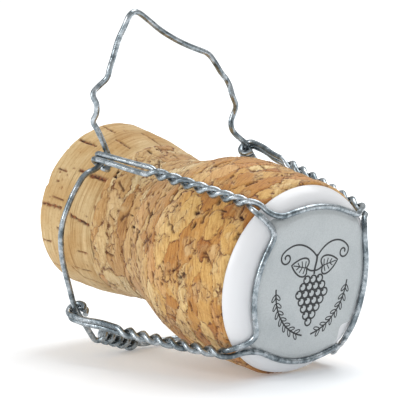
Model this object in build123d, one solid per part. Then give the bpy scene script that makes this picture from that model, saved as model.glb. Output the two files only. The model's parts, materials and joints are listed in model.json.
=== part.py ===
from build123d import *
import math
import os

# A sparkling wine cork that has been drawn from its bottle, with its opened wire hood still on it.
# It lies on its side: the rim of its head, the knot of the belt wire and the hidden foot of the
# hood touch the floor. The pieces are made in the cork's own frame, where Z is the axis from the
# foot face to the cap, and are laid down together at the end. Angles are about that axis, from
# the upper side of the lying cork towards the near side.
#
# The hood is four frame wires and a belt wire. A frame wire starts as a hook at the foot of one
# leg, runs up that leg twisted with its neighbour, crosses the edge of the cap and comes down the
# next leg to a second hook. The belt wire is threaded through the hooks, its ends are wound
# together in a knot, and its slack is the tie loop, pulled open and standing up. The belt and the
# tie loop are one wire on the real hood, parted here at the two bends where the loop turns.

# Cork, in millimetres
cork_length = 45.0
foot_radius = 13.3
foot_taper = 0.45
foot_taper_radius = foot_radius - foot_taper
foot_taper_height = 9.0
waist_radius = 11.8
waist_height = 18.6
flank_radius = 13.75
flank_height = 24.9
head_radius = 15.5
head_middle_height = 37.0
head_start_height = 29.8
head_inset = 0.2
head_start_radius = head_radius - head_inset
head_top_radius = head_radius - head_inset
foot_edge_round = 0.8
head_edge_round = 0.7
outer_disc_thickness = 4.8
inner_disc_thickness = 6.5
side_step = 0.01

# Lenticels of the two discs: the angle and height of one end, of the other end, and the width
lenticel_depth = 0.35
outer_lenticels = (
    (83.7, 0.6, 82.5, 4.5, 0.6), (110.3, 0.5, 109.4, 2.6, 0.3), (131.3, 0.5, 130.4, 3.2, 0.3),
    (32.5, 0.9, 31.7, 4.5, 0.5), (12.0, 1.0, 12.6, 4.0, 0.4), (158.0, 0.5, 157.3, 4.5, 0.4),
    (186.0, 0.9, 186.5, 4.4, 0.5), (203.0, 0.6, 203.5, 3.0, 0.3), (231.0, 1.5, 230.3, 4.5, 0.6),
    (262.0, 0.6, 262.9, 3.6, 0.4), (287.0, 0.7, 286.0, 4.5, 0.5), (318.0, 2.1, 318.4, 4.5, 0.4),
    (341.0, 0.6, 340.2, 2.8, 0.5), (58.0, 1.4, 57.6, 3.2, 0.3),
)
inner_lenticels = (
    (53.4, 5.3, 53.4, 7.1, 0.5), (53.9, 7.9, 52.5, 11.0, 0.8), (85.0, 6.9, 87.7, 10.7, 0.5),
    (126.9, 5.8, 136.2, 7.0, 0.3), (136.2, 7.0, 141.2, 10.5, 0.4), (19.0, 6.0, 20.0, 9.5, 0.3),
    (171.0, 5.1, 172.0, 11.0, 0.5), (214.0, 6.6, 212.0, 10.2, 0.4), (246.0, 5.1, 247.0, 8.0, 0.6),
    (273.0, 7.1, 271.6, 11.0, 0.4), (303.0, 5.2, 304.5, 9.9, 0.5), (333.0, 5.1, 333.4, 7.4, 0.4),
    (356.0, 6.2, 357.0, 11.0, 0.4), (110.0, 8.6, 110.6, 10.9, 0.3),
)

# Cracks between the pressed granules of the body, spread over its side by the golden angle: their
# lengths and their tilts out of the direction round the cork come round in turn
crack_count = 72
crack_turn = 137.5
crack_margin = 1.4
crack_width = 0.5
crack_depth = 0.3
crack_lengths = (2.4, 1.5, 3.1, 1.9, 2.7)
crack_tilts = (-20, 35, 5, 60, -45, 15, 80)

# Pressed cap of tinplate
ledge_width = 0.47
cap_rim_radius = head_top_radius - ledge_width
cap_thickness = 0.3
shoulder_bend_radius = 3.5
shoulder_centre_drop = 0.5
shoulder_width = 2.33
groove_width = 1.55
step_slant = 0.2
groove_outer_radius = cap_rim_radius - shoulder_width
groove_inner_radius = groove_outer_radius - groove_width
face_edge_radius = groove_inner_radius - step_slant
face_edge_rise = 3.65
face_dome = 0.25
cap_press_round = 0.2
cork_to_cap_clearance = 0.05

# Wires of the hood
frame_wire_diameter = 0.9
belt_wire_diameter = 0.9
wire_clearance = 0.06
cap_wire_clearance = 0.12
wire_cut_gap = 0.05
hook_radius = 1.3
hook_spacing = 1.0
hook_end_turn = 345
hook_turns = (300, 240, 180, 120)
eye_spacing = 1.25
eye_shares = ((0.18, 0.12), (0.55, 0.75))
twist_start_height = 24.5
twist_top_rise = 0.3
twist_gap = 0.08
twist_half_turns = 8
corner_start_reach = 0.27
arc_share = 0.485

# Belt wire: how far it stands off the head, and so the radius that it and the hooks keep to
belt_stand_off = 4.9
belt_radius = head_radius + belt_stand_off

# Legs of the hood: the angle and height of the hook, how far it and the start of the twist lie
# inside the belt's radius, how much of that lean is left half way up the twist, and the angles
# of the twist's top and of the corner on the cap
leg_end_clearance = 0.8
near_top_foot_angle = 49.1
near_top_foot_height = 13.6
near_top_foot_inset = 2.65
near_top_twist_inset = 2.0
near_top_lean_share = 0.43
near_top_top_angle = 39.2
near_top_corner_angle = 39.2

near_bottom_foot_angle = 127.6
near_bottom_foot_height = 14.1
near_bottom_foot_inset = 0.2
near_bottom_twist_inset = 0.25
near_bottom_lean_share = 0.545
near_bottom_top_angle = 129.5
near_bottom_corner_angle = 129.5

far_bottom_foot_angle = 212.65
far_bottom_foot_height = 14.8
far_bottom_foot_inset = -1.15
far_bottom_twist_inset = 0.0
far_bottom_lean_share = 0.56
far_bottom_top_angle = 220.0
far_bottom_corner_angle = 221.5

far_top_foot_angle = 307.6
far_top_foot_height = 16.2
far_top_foot_inset = 1.2
far_top_twist_inset = 1.0
far_top_lean_share = 0.55
far_top_top_angle = 306.0
far_top_corner_angle = 311.5

# Ring of the frame wires on the cap: how far inside the cap's rim it lies beside the corners, and
# how much further in it is in the middle of each wire, with the angle between two places of it
near_ring_inset = 2.93
bottom_ring_inset = 2.23
far_ring_inset = 2.68
top_ring_inset = 1.93
ring_flattening = 0.45
ring_step = 17.0

# Bends from a corner into the ring: how far round they sweep in degrees, and their places as
# shares of that sweep and of the way out from the ring to the start of the corner
tight_bend = (7.0, ((0.08, 0.78), (0.2, 0.42), (0.5, 0.12), (1.0, 0.0)))
gentle_bend = (14.0, ((0.08, 0.78), (0.22, 0.45), (0.52, 0.14), (1.0, 0.0)))
bulged_bend = (24.0, ((0.04, 0.68), (0.14, 0.42), (0.42, 0.32), (0.75, 0.08), (1.0, 0.0)))

# Belt wire: its places between two feet as shares of the angle between them and of its radius
near_belt_shares = ((0.13, 0.965), (0.28, 0.995), (0.46, 1.03), (0.64, 1.0), (0.81, 0.97))
knot_start_angle = 144.8
knot_end_angle = 170.5
knot_start_inset = 0.3
knot_end_inset = 1.1
knot_turns = 5
knot_lead = 1.2
tail_shares = ((0.3, 0.94), (0.64, 0.985))
far_belt_shares = ((0.2, 1.03), (0.42, 0.98), (0.62, 1.0), (0.82, 0.985))

# Tie loop: its places as shares of the span between its two bends, from the far one, of its
# rise over them, and of the depth by which the old twist still waves it out of its plane
loop_pivot_reach = 1.45
loop_rise = 22.8
loop_wave_depth = 0.5
loop_shares = (
    (0.090, 0.074, 0.0), (0.126, 0.116, 0.3), (0.124, 0.171, -0.5), (0.099, 0.231, -0.8),
    (0.113, 0.287, 0.6), (0.156, 0.360, 1.0), (0.159, 0.423, -0.4), (0.181, 0.471, -1.0),
    (0.250, 0.529, 0.5), (0.305, 0.602, 1.0), (0.340, 0.666, -0.3), (0.402, 0.692, -0.8),
    (0.500, 0.732, 0.0), (0.607, 0.784, 0.8), (0.714, 0.851, 0.4), (0.798, 0.927, -0.6),
    (0.865, 0.979, -0.5), (0.916, 0.997, 0.2), (0.956, 0.973, 0.7), (0.978, 0.891, 0.4),
    (0.999, 0.795, -0.6), (1.020, 0.698, -0.3), (1.060, 0.602, 0.8), (1.061, 0.542, 0.5),
    (1.098, 0.484, -0.8), (1.150, 0.434, -0.5), (1.121, 0.364, 0.8), (1.110, 0.295, 0.3),
    (1.123, 0.236, -0.7), (1.093, 0.188, -0.2), (1.054, 0.108, 0.2),
)

# The way it lies: the axis dips this much towards the cap
lying_dip = 8.94


def polar(radius, angle, height):
    """A point at a radius and an angle in degrees about the cork's axis."""
    turn = math.radians(angle)
    return Vector(radius * math.cos(turn), radius * math.sin(turn), height)


def outward(angle):
    """The direction straight out from the axis at an angle."""
    turn = math.radians(angle)
    return Vector(math.cos(turn), math.sin(turn), 0)


def around(angle):
    """The direction round the axis at an angle, towards larger angles."""
    turn = math.radians(angle)
    return Vector(-math.sin(turn), math.cos(turn), 0)


def rounded_path(points):
    """Straight runs joined by tangent arcs, each as large as its two runs allow."""
    radii = []
    for before, corner, after in zip(points, points[1:], points[2:]):
        arriving = corner - before
        leaving = after - corner
        half_turn = math.radians(arriving.get_angle(leaving)) / 2
        reach = arc_share * min(arriving.length, leaving.length)
        radii.append(reach / math.tan(half_turn))
    return FilletPolyline(*points, radius=radii), radii


def wire_along(points, diameter):
    """A round wire along a rounded path."""
    path, radii = rounded_path(points)
    section = Plane(path @ 0, z_dir=path % 0) * Circle(diameter / 2)
    solid = sweep(section, path=path)
    return solid, path, radii


def least_self_gap(path, diameter):
    """The least gap between a wire's turns, measured on points along its middle line."""
    count = int(path.length / (diameter / 2))
    places = [path @ (step / count) for step in range(count + 1)]
    skip = int(math.pi * diameter / (path.length / count)) + 1
    least = path.length
    for first in range(0, count + 1):
        for second in range(first + skip, count + 1):
            least = min(least, (places[first] - places[second]).length)
    return least - diameter


def round_over(corner, inwards, upwards, radius):
    """A quarter circle that rounds a corner of a half outline."""
    bite = radius * (1 - math.sqrt(0.5))
    first = (corner[0] + inwards * radius, corner[1])
    middle = (corner[0] + inwards * bite, corner[1] + upwards * bite)
    last = (corner[0], corner[1] + upwards * radius)
    return ThreePointArc(first, middle, last)


def cork_side():
    """The cork's side as a half outline, with its rounded foot and head edges."""
    foot_round = round_over((foot_radius, 0), -1, 1, foot_edge_round)
    head_round = round_over((head_top_radius, cork_length), -1, -1, head_edge_round)
    side = Spline(
        foot_round @ 1,
        (foot_taper_radius, foot_taper_height),
        (waist_radius, waist_height),
        (flank_radius, flank_height),
        (head_start_radius, head_start_height),
        (head_radius, head_middle_height),
        head_round @ 1,
    )
    return [foot_round, side, head_round], foot_round @ 0, head_round @ 0


def radius_at(side, height):
    """The radius of the cork's side at a height, found by halving."""
    low = 0.0
    high = 1.0
    while (side @ high).Y - (side @ low).Y > side_step:
        middle = (low + high) / 2
        if (side @ middle).Y < height:
            low = middle
        else:
            high = middle
    return (side @ low).X


def channel(side, line, depth):
    """A rod sunk to a depth in the cork's side, from one angle and height to another."""
    first_angle, first_height, last_angle, last_height, width = line
    first = polar(radius_at(side, first_height), first_angle, first_height)
    last = polar(radius_at(side, last_height), last_angle, last_height)
    sink = outward((first_angle + last_angle) / 2) * (width / 2 - depth)
    run = last - first
    return Plane(first + sink, z_dir=run) * extrude(Circle(width / 2), run.length)


def crack_lines(side):
    """Ends and width of each crack of the body."""
    lowest = outer_disc_thickness + inner_disc_thickness + crack_margin
    highest = cork_length - head_edge_round - crack_margin
    lines = []
    for number in range(crack_count):
        height = lowest + (highest - lowest) * (number + 0.5) / crack_count
        tilt = math.radians(crack_tilts[number % len(crack_tilts)])
        half = crack_lengths[number % len(crack_lengths)] / 2
        reach = math.degrees(half * math.cos(tilt) / radius_at(side, height))
        rise = half * math.sin(tilt)
        angle = crack_turn * number
        lines.append((angle - reach, height - rise, angle + reach, height + rise, crack_width))
    return lines


def cap_line(inset, rim_height):
    """Outline of the cap from its rim to its middle, inset towards the cork."""
    centre_radius = cap_rim_radius - math.sqrt(shoulder_bend_radius**2 - shoulder_centre_drop**2)
    centre_height = cork_length - shoulder_centre_drop
    bend = shoulder_bend_radius - inset
    rim_rise = rim_height - centre_height
    rim = (centre_radius + math.sqrt(bend**2 - rim_rise**2), rim_height)
    groove = (
        groove_outer_radius,
        centre_height + math.sqrt(bend**2 - (groove_outer_radius - centre_radius) ** 2),
    )
    half_way = math.radians(45)
    shoulder = (
        centre_radius + bend * math.cos(half_way),
        centre_height + bend * math.sin(half_way),
    )
    step_foot = (groove_inner_radius - inset, groove[1])
    face_edge = (face_edge_radius - inset, cork_length + face_edge_rise - inset)
    middle = (0, face_edge[1] + face_dome)
    dome_radius = (face_edge[0] ** 2 + face_dome**2) / (2 * face_dome)
    half_sweep = math.asin(face_edge[0] / dome_radius) / 2
    quarter = (
        dome_radius * math.sin(half_sweep),
        middle[1] - dome_radius * (1 - math.cos(half_sweep)),
    )
    line = Curve() + [
        ThreePointArc(rim, shoulder, groove),
        Line(groove, step_foot),
        Line(step_foot, face_edge),
        ThreePointArc(face_edge, quarter, middle),
    ]
    return line, rim, middle


def shoulder_height(radius):
    """Height of a wire's middle line that runs over the cap's shoulder at a radius."""
    centre_radius = cap_rim_radius - math.sqrt(shoulder_bend_radius**2 - shoulder_centre_drop**2)
    centre_height = cork_length - shoulder_centre_drop
    bend = shoulder_bend_radius + frame_wire_diameter / 2 + cap_wire_clearance
    return centre_height + math.sqrt(bend**2 - (radius - centre_radius) ** 2)


def make_cap():
    rim_height = cork_length + cork_to_cap_clearance
    outer, outer_rim, outer_middle = cap_line(0, rim_height)
    inner, inner_rim, inner_middle = cap_line(cap_thickness, rim_height)
    rim_edge = Line(outer_rim, inner_rim)
    middle_edge = Line(outer_middle, inner_middle)
    section = make_face([*outer.edges(), *inner.edges(), rim_edge, middle_edge])
    face_corner = section.vertices().sort_by_distance(
        (face_edge_radius, cork_length + face_edge_rise)
    )[0]
    section = fillet(face_corner, cap_press_round)
    return revolve(Plane.XZ * section, Axis.Z)


def make_cork():
    """The cork's body and its two natural discs, cut from one turned shape."""
    side, foot_end, head_end = cork_side()
    boss, boss_rim, boss_middle = cap_line(cap_thickness + cork_to_cap_clearance, cork_length)
    ledge = Line(head_end, boss_rim)
    axis_line = Line(boss_middle, (0, 0))
    foot = Line((0, 0), foot_end)
    section = Plane.XZ * make_face([*side, ledge, *boss.edges(), axis_line, foot])
    whole = revolve(section, Axis.Z)
    seam = Plane.XY.offset(outer_disc_thickness)
    second_seam = seam.offset(inner_disc_thickness)
    outer_disc = split(whole, bisect_by=seam, keep=Keep.BOTTOM)
    rest = split(whole, bisect_by=seam, keep=Keep.TOP)
    inner_disc = split(rest, bisect_by=second_seam, keep=Keep.BOTTOM)
    body = split(rest, bisect_by=second_seam, keep=Keep.TOP)
    curve = side[1]
    outer_disc -= [channel(curve, line, lenticel_depth) for line in outer_lenticels]
    inner_disc -= [channel(curve, line, lenticel_depth) for line in inner_lenticels]
    body -= [channel(curve, line, crack_depth) for line in crack_lines(curve)]
    return body, inner_disc, outer_disc


class Leg:
    """One leg of the hood: where it stands, how it leans, and its twist, 1 by the right hand."""

    def __init__(self, foot_angle, foot_height, insets, lean_share, top_angle, corner_angle, hand):
        self.foot_angle = foot_angle
        self.foot_height = foot_height
        self.foot_radius = belt_radius - insets[0]
        self.twist_radius = belt_radius - insets[1]
        self.end_radius = head_radius + leg_end_clearance
        self.middle_radius = (
            self.end_radius + (self.twist_radius - self.end_radius) * lean_share
        )
        self.top_angle = top_angle
        self.corner_angle = corner_angle
        self.hand = hand
        self.twist_end = cork_length + twist_top_rise

    def angle_at(self, height):
        share = (height - self.foot_height) / (self.twist_end - self.foot_height)
        return self.foot_angle + (self.top_angle - self.foot_angle) * share

    def radius_at(self, height):
        """A parabola through the start, the middle and the end of the twist."""
        share = (height - twist_start_height) / (self.twist_end - twist_start_height)
        start_part = self.twist_radius * (1 - share) * (1 - 2 * share)
        middle_part = self.middle_radius * 4 * share * (1 - share)
        end_part = self.end_radius * share * (2 * share - 1)
        return start_part + middle_part + end_part

    def place(self, height, radius, sideways):
        angle = self.angle_at(height)
        return polar(radius, angle, height) + around(angle) * sideways

    def hook_middle(self):
        return polar(self.foot_radius, self.foot_angle, self.foot_height)

    def hook_place(self, turn, reach):
        """A place on the hook, turned from straight up towards straight out."""
        turn = math.radians(turn)
        out = outward(self.foot_angle) * (reach * math.sin(turn))
        return self.hook_middle() + out + Vector(0, 0, reach * math.cos(turn))

    def strand(self, side):
        """Points of one strand from its cut end at the foot to the top of the twist."""
        low = hook_spacing / 2 * side
        hook_shift = around(self.foot_angle) * low
        half_corner = math.radians(hook_turns[0] - hook_turns[1]) / 2
        half_end = half_corner / 2
        end_reach = hook_radius / math.cos(half_end)
        points = [self.hook_place(hook_end_turn, end_reach) + hook_shift]
        for turn in hook_turns:
            points.append(self.hook_place(turn, hook_radius / math.cos(half_corner)) + hook_shift)
        eye_reach = eye_spacing / 2 * side
        first_height = self.foot_height + hook_radius
        span = twist_start_height - first_height
        lip_radius = self.foot_radius + hook_radius
        for share, fall in eye_shares:
            radius = lip_radius + (self.twist_radius - lip_radius) * fall
            sideways = low + (eye_reach - low) * fall
            points.append(self.place(first_height + span * share, radius, sideways))
        corner_reach = (frame_wire_diameter + twist_gap) / 2 / math.cos(math.radians(45))
        quarters = 2 * twist_half_turns
        for quarter in range(quarters + 1):
            height = twist_start_height
            height += (self.twist_end - twist_start_height) * quarter / quarters
            phase = math.radians(90 * (quarters - quarter)) * self.hand
            sideways = side * corner_reach * math.cos(phase)
            lift = side * corner_reach * math.sin(phase)
            points.append(self.place(height, self.radius_at(height) + lift, sideways))
        return points

    def corner(self, side, bend, ring_radius):
        """Points from the top of the twist over the cap's shoulder to the ring."""
        sweep_angle, shares = bend
        corner_start_radius = cap_rim_radius + corner_start_reach
        shift = side * math.degrees((frame_wire_diameter + twist_gap) / 2 / corner_start_radius)
        points = []
        for turn_share, radius_share in shares:
            radius = ring_radius + (corner_start_radius - ring_radius) * radius_share
            angle = self.corner_angle + shift + side * sweep_angle * turn_share
            points.append(polar(radius, angle, shoulder_height(radius)))
        return points, self.corner_angle + shift + side * sweep_angle


def make_frame_wire(first, second, first_bend, second_bend, ring_inset):
    """A frame wire from its hook on one leg, over the cap, to its hook on the next leg."""
    ring_radius = cap_rim_radius - ring_inset
    start, start_angle = first.corner(1, first_bend, ring_radius)
    end, end_angle = second.corner(-1, second_bend, ring_radius)
    if end_angle < start_angle:
        end_angle += 360
    count = max(2, round((end_angle - start_angle) / ring_step))
    ring = []
    for step in range(1, count):
        angle = start_angle + (end_angle - start_angle) * step / count
        radius = ring_radius - ring_flattening * math.sin(math.pi * step / count)
        ring.append(polar(radius, angle, shoulder_height(radius)))
    points = first.strand(1) + start + ring + end[::-1] + second.strand(-1)[::-1]
    return wire_along(points, frame_wire_diameter)


def hook_pass(leg):
    """Two points that carry the belt wire straight through the hooks of a leg."""
    reach = around(leg.foot_angle) * (hook_spacing / 2 + frame_wire_diameter)
    return [leg.hook_middle() - reach, leg.hook_middle() + reach]


def between(first_angle, first_height, leg, shares):
    """Places of the belt wire from an angle and a height to the hooks of a leg."""
    span = leg.foot_angle - first_angle
    rise = leg.foot_height - first_height
    return [
        polar(
            belt_radius * radius_share,
            first_angle + span * angle_share,
            first_height + rise * angle_share,
        )
        for angle_share, radius_share in shares
    ]


def make_tie_loop(near_pivot, far_pivot):
    """The opened loop, from one bend to the other, with a round end at each bend."""
    chord = near_pivot - far_pivot
    rise = chord.normalized().cross(Vector(0, 0, 1)).normalized()
    if rise.X < 0:
        rise = rise * -1
    points = [far_pivot]
    for across, up, wave in loop_shares:
        place = far_pivot + chord * across + rise * (loop_rise * up)
        points.append(place + Vector(0, 0, loop_wave_depth * wave))
    points.append(near_pivot)
    loop, path, radii = wire_along(points, belt_wire_diameter)
    for pivot in (near_pivot, far_pivot):
        loop += Pos(*pivot) * Sphere(belt_wire_diameter / 2)
    return loop, path, radii


def make_belt(near_top, near_bottom, far_bottom, far_top, near_pivot, far_pivot):
    """The two lengths of the belt wire: the near one is wound round the end of the far one."""
    knot_height = (near_bottom.foot_height + far_bottom.foot_height) / 2
    knot_start = polar(belt_radius - knot_start_inset, knot_start_angle, knot_height)
    knot_end = polar(belt_radius - knot_end_inset, knot_end_angle, knot_height)
    knot_axis = (knot_end - knot_start).normalized()
    wind_radius = belt_wire_diameter + wire_clearance
    corner_reach = wind_radius / math.cos(math.radians(45))
    side = knot_axis.cross(Vector(0, 0, 1)).normalized()
    quarters = 4 * knot_turns
    winding = []
    for quarter in range(quarters):
        phase = math.radians(90 * quarter)
        offset = side * math.cos(phase) + Vector(0, 0, math.sin(phase))
        along = knot_start + (knot_end - knot_start) * ((quarter + 0.5) / quarters)
        winding.append(along + offset * corner_reach)
    end_room = belt_wire_diameter / 2 + wire_cut_gap
    near_hook = hook_pass(near_top)
    near_start = near_pivot + (near_hook[1] - near_pivot).normalized() * end_room
    near_points = [near_start, near_hook[1]]
    near_points += between(
        near_top.foot_angle, near_top.foot_height, near_bottom, near_belt_shares
    )
    near_points += hook_pass(near_bottom) + winding
    far_hook = hook_pass(far_top)
    far_start = far_pivot + (far_hook[0] - far_pivot).normalized() * end_room
    far_points = [far_start, far_hook[0]]
    far_points += between(far_top.foot_angle, far_top.foot_height, far_bottom, far_belt_shares)
    far_points += hook_pass(far_bottom)[::-1]
    far_points += between(knot_end_angle, knot_height, far_bottom, tail_shares)[::-1]
    far_points += [knot_end + knot_axis * knot_lead, knot_start + knot_axis * belt_wire_diameter]
    return wire_along(near_points, belt_wire_diameter), wire_along(far_points, belt_wire_diameter)


def pivot_beside(leg, side):
    """The bend of the tie loop just beside the hooks of a leg."""
    return leg.hook_middle() + around(leg.foot_angle) * (side * loop_pivot_reach)


def lay_down(pieces):
    """Lay the pieces on the floor, with the middle of their box at the origin."""
    dip = math.radians(lying_dip)
    tilted = Plane(
        origin=(0, 0, 0),
        x_dir=(math.sin(dip), 0, math.cos(dip)),
        z_dir=(math.cos(dip), 0, -math.sin(dip)),
    )
    laid = {name: tilted.location * piece for name, piece in pieces.items()}
    box = Compound(list(laid.values())).bounding_box()
    shift = Pos(-box.center().X, -box.center().Y, -box.min.Z)
    laid = {name: shift * piece for name, piece in laid.items()}
    return laid, shift * tilted.location


def make_legs():
    """The four legs in order round the cork; neighbours are twisted by opposite hands."""
    near_top = Leg(
        near_top_foot_angle,
        near_top_foot_height,
        (near_top_foot_inset, near_top_twist_inset),
        near_top_lean_share,
        near_top_top_angle,
        near_top_corner_angle,
        -1,
    )
    near_bottom = Leg(
        near_bottom_foot_angle,
        near_bottom_foot_height,
        (near_bottom_foot_inset, near_bottom_twist_inset),
        near_bottom_lean_share,
        near_bottom_top_angle,
        near_bottom_corner_angle,
        1,
    )
    far_bottom = Leg(
        far_bottom_foot_angle,
        far_bottom_foot_height,
        (far_bottom_foot_inset, far_bottom_twist_inset),
        far_bottom_lean_share,
        far_bottom_top_angle,
        far_bottom_corner_angle,
        -1,
    )
    far_top = Leg(
        far_top_foot_angle,
        far_top_foot_height,
        (far_top_foot_inset, far_top_twist_inset),
        far_top_lean_share,
        far_top_top_angle,
        far_top_corner_angle,
        1,
    )
    return near_top, near_bottom, far_bottom, far_top


def main():
    near_top, near_bottom, far_bottom, far_top = make_legs()
    near_pivot = pivot_beside(near_top, -1)
    far_pivot = pivot_beside(far_top, 1)

    body, inner_disc, outer_disc = make_cork()
    wires = {
        "frame_wire_near": make_frame_wire(
            near_top, near_bottom, tight_bend, tight_bend, near_ring_inset
        ),
        "frame_wire_bottom": make_frame_wire(
            near_bottom, far_bottom, gentle_bend, gentle_bend, bottom_ring_inset
        ),
        "frame_wire_far": make_frame_wire(
            far_bottom, far_top, bulged_bend, gentle_bend, far_ring_inset
        ),
        "frame_wire_top": make_frame_wire(
            far_top, near_top, gentle_bend, gentle_bend, top_ring_inset
        ),
        "tie_loop": make_tie_loop(near_pivot, far_pivot),
    }
    wires["belt_wire_near"], wires["belt_wire_far"] = make_belt(
        near_top, near_bottom, far_bottom, far_top, near_pivot, far_pivot
    )
    pieces = {
        "cork_body": body,
        "cork_disc_inner": inner_disc,
        "cork_disc_outer": outer_disc,
        "cap_plaque": make_cap(),
    }
    for name, (solid, path, radii) in wires.items():
        pieces[name] = solid
        diameter = frame_wire_diameter if name.startswith("frame") else belt_wire_diameter
        ideal = path.length * math.pi * diameter**2 / 4
        print(
            name,
            "length %.1f" % path.length,
            "volume share %.3f" % (solid.volume / ideal),
            "least bend %.2f" % min(radii),
            "least self gap %.2f" % least_self_gap(path, diameter),
        )

    laid, placing = lay_down(pieces)
    for name, point in {
        "near pivot": near_pivot,
        "far pivot": far_pivot,
        "foot centre": Vector(0, 0, 0),
        "ledge centre": Vector(0, 0, cork_length),
    }.items():
        print(name, (placing * Pos(*point)).position)
    os.makedirs("parts", exist_ok=True)
    for name, piece in laid.items():
        export_step(piece, f"parts/{name}.step")


main()
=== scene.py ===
# %% [markdown]
# # A drawn sparkling wine cork in its opened wire hood
#
# The cork lies on its side on a pale floor. Its head is pressed together from granules of cork,
# two discs of natural cork are glued to its foot, a lacquered tinplate cap sits on its head, and
# the hood of galvanised wire is still on it with its tie loop pulled open.
#
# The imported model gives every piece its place. The wires keep their own mesh and get a better
# finish. The cork, the discs and the cap are built again here as fine surfaces, because their
# cracks, wrinkles and pressed edges are what the eye knows them by.

import itertools
import json
import math

import bpy
import numpy as np
from mathutils import Matrix


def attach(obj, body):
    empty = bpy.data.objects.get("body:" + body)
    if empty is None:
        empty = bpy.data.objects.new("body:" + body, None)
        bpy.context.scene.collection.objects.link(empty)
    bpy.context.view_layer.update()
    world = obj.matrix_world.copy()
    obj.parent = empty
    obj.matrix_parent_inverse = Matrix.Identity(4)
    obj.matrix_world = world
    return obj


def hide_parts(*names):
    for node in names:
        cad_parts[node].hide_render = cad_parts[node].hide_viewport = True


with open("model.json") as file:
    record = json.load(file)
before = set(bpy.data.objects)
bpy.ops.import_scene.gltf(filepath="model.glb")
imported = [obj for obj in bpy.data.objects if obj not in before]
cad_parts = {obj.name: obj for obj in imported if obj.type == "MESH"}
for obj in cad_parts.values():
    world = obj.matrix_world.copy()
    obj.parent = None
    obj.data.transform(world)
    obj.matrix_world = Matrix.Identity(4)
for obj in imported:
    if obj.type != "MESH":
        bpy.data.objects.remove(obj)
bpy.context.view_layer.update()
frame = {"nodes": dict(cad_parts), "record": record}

# %% [markdown]
# ## Places on the cork
#
# A cork is a turned shape, so every place on it is an angle, a radius and a height above its
# foot. The record's mount gives the middle of the foot and the direction of the axis, and one
# function lays such places down into the row frame. Lengths are in millimetres until then.

# %% From the cork's own frame to the row frame
millimetre = 0.001
mount = frame["record"]["mounts"][0]
foot_centre = np.array(mount["pos_m"], float)
axis_out = -np.array(mount["axis"], float)
axis_out /= np.linalg.norm(axis_out)
upper_side = np.array([0.0, 0.0, 1.0]) - axis_out * axis_out[2]
upper_side /= np.linalg.norm(upper_side)
near_side = np.cross(axis_out, upper_side)
own_axes = np.stack([upper_side, near_side, axis_out])
dip = math.asin(-axis_out[2])


def cork_frame(radius, angle, height):
    """Points x, y, z: the radius times cosine and sine of the angle, and the height."""
    radius, angle, height = np.broadcast_arrays(radius, angle, height)
    return np.stack([radius * np.cos(angle), radius * np.sin(angle), height], -1)


def laid(points):
    """The foot's middle plus x up, y to the near side and z along the axis, in metres."""
    return foot_centre + (points * millimetre) @ own_axes


print("dip of the axis:", round(math.degrees(dip), 2), "degrees")

# %% [markdown]
# ## Surfaces and randomness
#
# Each new piece is a grid of points: rows go along its outline and columns go round it. One
# function turns a grid into a closed mesh with its faces outwards. Another gives soft noise,
# worked out for whole arrays at once, which stands for everything irregular about cork.

# %% From a grid of points to a mesh
def new_object(name, data):
    """An object at the origin that carries a mesh, a lamp or a camera, linked to the scene."""
    item = bpy.data.objects.new(name, data)
    bpy.context.scene.collection.objects.link(item)
    return item


def add_piece(name, points, slots=None, values=None):
    """A closed mesh from a grid that is closed round its columns. The first and last rows are
    closed with a pole at their middle. slots are the material slots of the rows of faces, and
    values are arrays on the same grid, kept as attributes."""
    rows, columns = points.shape[:2]
    place = np.arange(rows * columns).reshape(rows, columns)
    after = np.roll(place, -1, axis=1)
    quads = np.stack([place[:-1], after[:-1], after[1:], place[1:]], -1).reshape(-1, 4)
    first_pole, last_pole = rows * columns, rows * columns + 1
    start = np.stack([np.full(columns, first_pole), after[0], place[0]], -1)
    end = np.stack([np.full(columns, last_pole), place[-1], after[-1]], -1)
    vertices = laid(np.vstack([points.reshape(-1, 3), points[0].mean(0), points[-1].mean(0)]))
    a, b, c = (vertices[quads[:, k]] - foot_centre for k in range(3))
    if np.einsum("ij,ij->i", a, np.cross(b, c)).sum() < 0:
        quads, start, end = (faces[:, ::-1] for faces in (quads, start, end))
    corners = np.concatenate([quads.ravel(), start.ravel(), end.ravel()])
    sizes = np.concatenate([np.full(len(quads), 4), np.full(2 * columns, 3)])
    starts = np.concatenate([[0], np.cumsum(sizes)[:-1]])
    mesh = bpy.data.meshes.new(name)
    mesh.vertices.add(len(vertices))
    mesh.vertices.foreach_set("co", vertices.astype(np.float32).ravel())
    mesh.loops.add(len(corners))
    mesh.loops.foreach_set("vertex_index", corners.astype(np.int32))
    mesh.polygons.add(len(sizes))
    mesh.polygons.foreach_set("loop_start", starts.astype(np.int32))
    mesh.polygons.foreach_set("loop_total", sizes.astype(np.int32))
    mesh.polygons.foreach_set("use_smooth", np.ones(len(sizes), bool))
    if slots is not None:
        face_slots = np.concatenate([np.repeat(slots, columns), np.full(columns, slots[0]),
                                     np.full(columns, slots[-1])])
        mesh.polygons.foreach_set("material_index", face_slots.astype(np.int32))
    for key, value in (values or {}).items():
        whole = np.concatenate([value.ravel(), [value[0].mean(), value[-1].mean()]])
        layer = mesh.attributes.new(key, "FLOAT", "POINT")
        layer.data.foreach_set("value", whole.astype(np.float32))
    mesh.update(calc_edges=True)
    mesh.validate()
    print(name, len(vertices), "vertices,", int((sizes - 2).sum()), "triangles")
    return new_object(name, mesh)


# %% Soft noise
table_size = 4096
hash_primes = np.array([73856093, 19349663, 83492791])


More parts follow.
